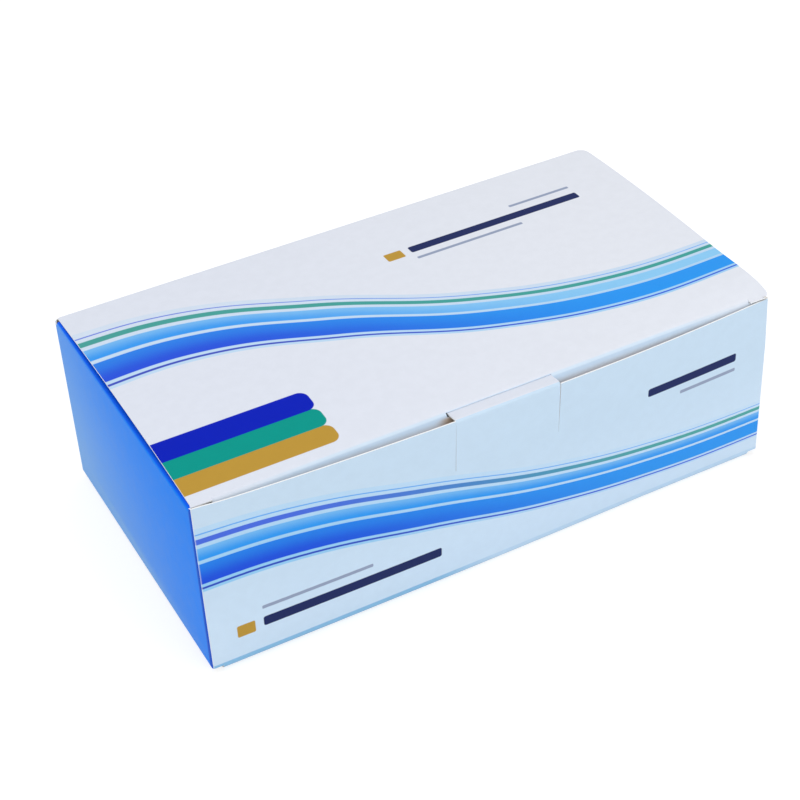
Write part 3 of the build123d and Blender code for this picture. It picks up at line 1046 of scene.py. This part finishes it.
def makeLid():
    left = carton["lidLeft"]
    right = carton["lidRight"]
    sheet = startEdge("lidSheet", left, right, lid["backY"], camberLevel(lid["backY"]))
    frontY = startY - board / 2 * math.sin(entry)
    startTurn = math.degrees(math.asin((lid["backY"] - lidMidY) / camberOuter))
    endTurn = math.degrees(math.asin((lidMidY - frontY) / camberOuter))
    camberTurn = startTurn + endTurn
    foldRound(sheet, lambda p: True, (0, lidMidY, camberZ), (1, 0, 0), camberTurn, lid["camberSteps"])
    foldRound(
        sheet,
        lambda p: at(p.y, frontY, loose),
        (0, rollY, rollZ), (1, 0, 0), 90 + lid["tuckLean"] - math.degrees(entry), lid["rollSteps"],
    )
    tuckY = rollY - lid["rollRadius"] * math.cos(lean)
    tuckZ = rollZ - lid["rollRadius"] * math.sin(lean)
    pull(
        sheet,
        lambda p: at(p.y, tuckY, loose) and at(p.z, tuckZ, loose),
        (0, lid["tuckDepth"] * math.sin(lean), -lid["tuckDepth"] * math.cos(lean)),
    )

    # score lines for the slit locks, the slot, the narrower tuck flap and the bulge
    slitLeft = left + lid["slitLeft"]
    slitRight = right - lid["slitRight"]
    rollFoot = rollZ - lid["rollFootDrop"]
    lipZ = top - lid["lipDrop"]
    onRoll = lambda p: p.y < startY - lid["rollMargin"]
    for x in (slitLeft, slitRight, slotLeft, slotRight, -lid["tuckHalf"], lid["tuckHalf"]):
        cutAcross(sheet, (x, 0, 0), (1, 0, 0))
    for step in range(1, lid["bulgeSteps"]):
        x = slitLeft + (slitRight - slitLeft) * step / lid["bulgeSteps"]
        cutAcross(sheet, (x, 0, 0), (1, 0, 0), onRoll)
    for step in range(lid["springCuts"]):
        cutAcross(sheet, (lid["springCutFrom"] + lid["springCutStep"] * step, 0, 0), (1, 0, 0))
    for step in range(-lid["dentCuts"], lid["dentCuts"] + 1):
        if step:
            cutAcross(sheet, (slotLeft + lid["dentCutStep"] * step, 0, 0), (1, 0, 0), onRoll)
    for step in range(1, lid["flapCuts"] + 1):
        z = rollFoot - lid["flapCutStep"] * step
        cutAcross(sheet, (0, 0, z), (0, 0, 1), lambda p: p.z < rollFoot)
    cutAcross(sheet, (0, 0, rollFoot), (0, 0, 1))
    cutAcross(sheet, (0, lid["slotY"], 0), (0, 1, 0), onRoll)
    cutAcross(sheet, (0, 0, lipZ), (0, 0, 1), onRoll)
    dropFaces(sheet, lambda p: not slitLeft < p.x < slitRight and p.y < frontY and p.z > rollFoot)
    dropFaces(sheet, lambda p: slotLeft < p.x < slotRight and p.y < lid["slotY"] and p.z > lipZ)
    dropFaces(sheet, lambda p: abs(p.x) > lid["tuckHalf"] and p.z < rollFoot)

    # lugs at both ends run straight on to the front corners, and the flap stands up below them
    lugY = -halfY + lid["overhang"]
    lugZ = top - (frontY - lugY) * math.tan(entry)
    pull(
        sheet,
        lambda p: at(p.y, frontY, loose) and p.z > rollZ
        and not slitLeft + near < p.x < slitRight - near,
        (0, lugY - frontY, -(frontY - lugY) * math.tan(entry)),
    )
    slitZ = lugZ - board - lid["slitGap"]
    pull(
        sheet,
        lambda p: at(p.z, rollFoot) and abs(p.x) < lid["tuckHalf"] + near
        and not slitLeft + near < p.x < slitRight - near,
        (0, -(slitZ - rollFoot) * math.tan(lean), slitZ - rollFoot),
    )
    flapEndZ = tuckZ - lid["tuckDepth"] * math.cos(lean)
    roundPoints(
        sheet,
        lambda p: at(p.z, flapEndZ, loose) and at(abs(p.x), lid["tuckHalf"]),
        lid["tuckCorner"], lid["tuckCornerSteps"],
    )

    # the flap bulges with the front panel, the right end springs up, and the four corners are round
    def bulge(x, y, z):
        onFlap = y < frontY - near
        onSpring = x > lid["springFrom"] and z > rollFoot
        return (0, -flapOut(x, z) if onFlap else 0, springUp(x, y) if onSpring else 0)

    movePoints(sheet, bulge)
    shiftPoints(
        sheet,
        lambda p: p.x < slitLeft + near and p.y < lugY + near and p.z > rollZ,
        (0, lid["lugShorter"], lid["lugShorter"] * math.tan(entry)),
    )
    leftLugY = lugY + lid["lugShorter"]
    shiftPoints(
        sheet,
        lambda p: at(p.x, left) and p.y < leftLugY + near and p.z > rollZ,
        (-lid["lugLonger"], 0, 0),
    )
    roundCorner(sheet, left - lid["lugLonger"], leftLugY, 1, carton["cornerLeft"])
    roundCorner(sheet, right, lugY, 1, lid["lugCorner"])
    roundCorner(sheet, left, halfY, -1, carton["cornerLeft"])
    roundCorner(sheet, right, halfY, -1, carton["cornerRight"])
    count = thicken(sheet, board, lambda p: abs(p.y) < clearOf and p.z > rollZ, (0, 0, 1))

    # the back of the slot is cut square; its cut face takes the lid's print, whose painted roll highlight and
    # flap shade show it as a faint grey-blue line
    openEdit(sheet)
    shiftPoints(
        sheet,
        lambda p: slotLeft + near < p.x < slotRight - near
        and at(p.z, lid["slotUnderZ"], lid["slotNearZ"]) and at(p.y, lid["slotUnderY"], lid["slotNearY"]),
        (0, lid["slotY"] - lid["slotUnderY"], -lid["slotLip"]),
    )
    closeEdit()
    dressSheet(sheet, count, lambda p, n: "lidPrint", ("lidPrint",))
    for face in sheet.data.polygons:
        x, y, z = face.center / mm
        onBack = slotLeft < x < slotRight and at(y, lid["slotY"], lid["slotNearY"])
        if onBack and face.normal.y < lid["slotFaces"]:
            face.material_index = 0
    return sheet


lidSheet = makeLid()
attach(lidSheet, "lid")
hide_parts("lid")
print("lid folded")


# Back crease between the back panel and the lid

crease = {"foldRadius": 0.6, "steps": 8, "blendReach": 1.3, "facesUp": 0.35}


def makeCrease():
    # a strip up the back panel, round the fold and on to the lid's panel
    radius = crease["foldRadius"]
    tangent = math.asin((lid["backY"] - lidMidY) / camberOuter)
    topAtBack = camberLevel(lid["backY"]) - (halfY - lid["backY"]) * math.tan(tangent)
    bendZ = topAtBack - radius
    sheet = startEdge("creaseSheet", carton["lidLeft"], carton["lidRight"], halfY, creaseFoot)
    pull(sheet, lambda p: True, (0, 0, bendZ - creaseFoot))
    foldRound(
        sheet, lambda p: at(p.z, bendZ), (0, halfY - radius, bendZ), (1, 0, 0),
        90 - math.degrees(tangent), crease["steps"],
    )
    endY = halfY - radius + radius * math.sin(tangent)
    endZ = bendZ + radius * math.cos(tangent)
    pull(
        sheet,
        lambda p: at(p.y, endY) and at(p.z, endZ),
        (0, lid["backY"] - endY, camberLevel(lid["backY"]) - endZ),
    )
    for x in (carton["lidLeft"] + lid["slitLeft"], carton["lidRight"] - lid["slitRight"]):
        cutAcross(sheet, (x, 0, 0), (1, 0, 0))
    roundCorner(sheet, carton["lidLeft"], halfY, -1, carton["cornerLeft"])
    roundCorner(sheet, carton["lidRight"], halfY, -1, carton["cornerRight"])
    count = thicken(sheet, board, lambda p: p.y > halfY - near and p.z < bendZ, (0, 1, 0))
    panelFor = lambda p, n: "lidPrint" if n.z > crease["facesUp"] else "plainPrint"
    dressSheet(sheet, count, panelFor, ("lidPrint", "plainPrint"))
    return sheet


creaseSheet = makeCrease()
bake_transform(creaseSheet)
print("back crease folded")


# Lock tab, cut out of the front panel and folded back through the lid's slot

tab = {
    "foldRadius": 0.9, "recess": 0.3, "drop": -0.1, "reach": 14.0, "taper": 2.0,
    "tongueSlope": 0.145, "foldSteps": 10, "slitShow": 0.14, "slitOpen": 0.14, "facesUp": 0.93,
}


def makeTab():
    # the two slits show as fine lines, so the tab all but fills its window
    left = tabLeft - walls["kerf"] + tab["slitShow"]
    right = tabRight + walls["kerf"] - tab["slitShow"]
    slope = frontBulge(carton["tabCentre"], rimBack) / (rimBack - carton["cornerFoot"])
    root = Vector((0, -halfY - slope * (tabRoot - carton["cornerFoot"]) + board / 2, tabRoot))
    bendZ = top - tab["drop"] - board / 2
    bend = Vector((0, -halfY - slope * (bendZ - carton["cornerFoot"]) + board / 2 + tab["recess"], bendZ))
    tip = bend + Vector((0, tab["reach"], -tab["reach"] * tab["tongueSlope"]))
    up = (bend - root).normalized()
    back = (tip - bend).normalized()
    turn = up.angle(back)
    lead = tab["foldRadius"] * math.tan(turn / 2)
    outUp = Vector((0, -up.z, up.y))
    outBack = Vector((0, -back.z, back.y))
    centre = bend - up * lead - outUp * tab["foldRadius"]
    foot = root + outUp * board / 2
    foot += up * ((tabRoot - foot.z) / up.z)
    foldStart = bend - up * lead + outUp * board / 2
    foldEnd = bend + back * lead + outBack * board / 2
    end = tip + outBack * board / 2

    sheet = startEdge("tabSheet", left, right, foot.y, foot.z)
    pull(sheet, lambda p: True, foldStart - foot)
    foldRound(
        sheet,
        lambda p: at(p.z, foldStart.z),
        centre, (1, 0, 0), -math.degrees(turn), tab["foldSteps"],
    )
    atSlot = foldEnd + (end - foldEnd) * ((lid["slotY"] - foldEnd.y) / (end.y - foldEnd.y))
    pull(sheet, lambda p: at(p.y, foldEnd.y) and at(p.z, foldEnd.z), atSlot - foldEnd)
    pull(sheet, lambda p: at(p.y, atSlot.y) and at(p.z, atSlot.z), end - atSlot)
    for x, step in ((left, 1), (right, -1)):
        shiftPoints(sheet, lambda p: at(p.y, end.y) and at(p.x, x), (step * tab["taper"], 0, 0))
    shiftPoints(sheet, lambda p: p.x > right - near and p.z > tabRoot + near, (-tab["slitOpen"], 0, 0))
    count = thicken(sheet, board, lambda p: p.z < top - clearOf / 2, (0, -1, 0))
    # faces turned up take the white print and the rest the front's print with its painted cool shade, so the
    # fold's turn to pale blue is painted light
    panelFor = lambda p, n: "plainPrint" if n.z > tab["facesUp"] else "frontPrint"
    dressSheet(sheet, count, panelFor, ("frontPrint", "plainPrint"))
    return sheet


tabSheet = makeTab()
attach(tabSheet, "carton")
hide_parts("lock_tab")
print("lock tab folded")


# Stage: pale floor, soft studio light, camera

stage = {
    "floorSize": 6.0, "floorBounce": 0.8, "floorSeen": 0.42, "floorGlow": 0.72,
    "worldLight": 0.62,
    "lamps": {
        "topLamp": {"place": (0.1, 0.1, 1.3), "target": (0, 0, 0.05), "size": 1.4, "power": 4.0},
        "frontLamp": {"place": (0.3, -1.2, 0.6), "target": (0, 0, 0.03), "size": 1.0, "power": 5.4},
        "leftLamp": {"place": (-1.2, 0.2, 0.6), "target": (0, 0, 0.03), "size": 1.0, "power": 3.2},
    },
    "cameraPlace": (-0.24613, -0.47773, 0.44485),
    "cameraTurn": (52.313, 2.334, -28.478),
    "cameraLens": 84.319, "cameraSensor": 36.0, "cameraClip": 0.01,
}


def seenDirectly(tree):
    # 1 for what the camera, gloss or glass shows, 0 for what only lights the carton
    ray = tree.nodes.new("ShaderNodeLightPath")
    direct = calc(tree, "MAXIMUM", ray.outputs["Is Camera Ray"], ray.outputs["Is Glossy Ray"])
    return calc(tree, "MAXIMUM", direct, ray.outputs["Is Transmission Ray"])


def makeFloor():
    # white where it is seen, plain pale grey for the light that it throws back
    clearPick()
    bpy.ops.mesh.primitive_plane_add(size=stage["floorSize"], location=(0, 0, 0))
    floor = bpy.context.active_object
    floor.name = "paleFloor"
    material = bpy.data.materials.new("paleFloor")
    material.use_nodes = True
    tree = material.node_tree
    tree.nodes.clear()
    out = tree.nodes.new("ShaderNodeOutputMaterial")
    plain = tree.nodes.new("ShaderNodeBsdfDiffuse")
    plain.inputs["Color"].default_value = [stage["floorBounce"]] * 3 + [1]
    seen = tree.nodes.new("ShaderNodeBsdfDiffuse")
    seen.inputs["Color"].default_value = [stage["floorSeen"]] * 3 + [1]
    glow = tree.nodes.new("ShaderNodeEmission")
    glow.inputs["Strength"].default_value = stage["floorGlow"]
    white = tree.nodes.new("ShaderNodeAddShader")
    tree.links.new(seen.outputs[0], white.inputs[0])
    tree.links.new(glow.outputs[0], white.inputs[1])
    mix = tree.nodes.new("ShaderNodeMixShader")
    tree.links.new(seenDirectly(tree), mix.inputs[0])
    tree.links.new(plain.outputs[0], mix.inputs[1])
    tree.links.new(white.outputs[0], mix.inputs[2])
    tree.links.new(mix.outputs[0], out.inputs[0])
    floor.data.materials.append(material)


def makeWorld():
    # full white where it is seen, weaker where it lights the carton
    world = bpy.data.worlds.new("paleStudio")
    scene.world = world
    world.use_nodes = True
    tree = world.node_tree
    back = tree.nodes["Background"]
    back.inputs["Color"].default_value = (1, 1, 1, 1)
    light = stage["worldLight"]
    strength = calc(tree, "MULTIPLY_ADD", seenDirectly(tree), 1.0 - light, light)
    tree.links.new(strength, back.inputs["Strength"])


def makeLamp(name, place, target, size, power):
    clearPick()
    bpy.ops.object.light_add(type="AREA", location=place)
    lamp = bpy.context.active_object
    lamp.name = name
    lamp.data.shape = "DISK"
    lamp.data.size = size
    lamp.data.energy = power
    lamp.rotation_euler = (Vector(target) - Vector(place)).to_track_quat("-Z", "Y").to_euler()


def makeCamera():
    clearPick()
    bpy.ops.object.camera_add(location=stage["cameraPlace"])
    camera = bpy.context.active_object
    camera.rotation_euler = [math.radians(turn) for turn in stage["cameraTurn"]]
    camera.data.lens = stage["cameraLens"]
    camera.data.sensor_width = stage["cameraSensor"]
    camera.data.clip_start = stage["cameraClip"]
    scene.camera = camera


makeFloor()
makeWorld()
for lampName, values in stage["lamps"].items():
    makeLamp(lampName, **values)
makeCamera()
print("stage set")
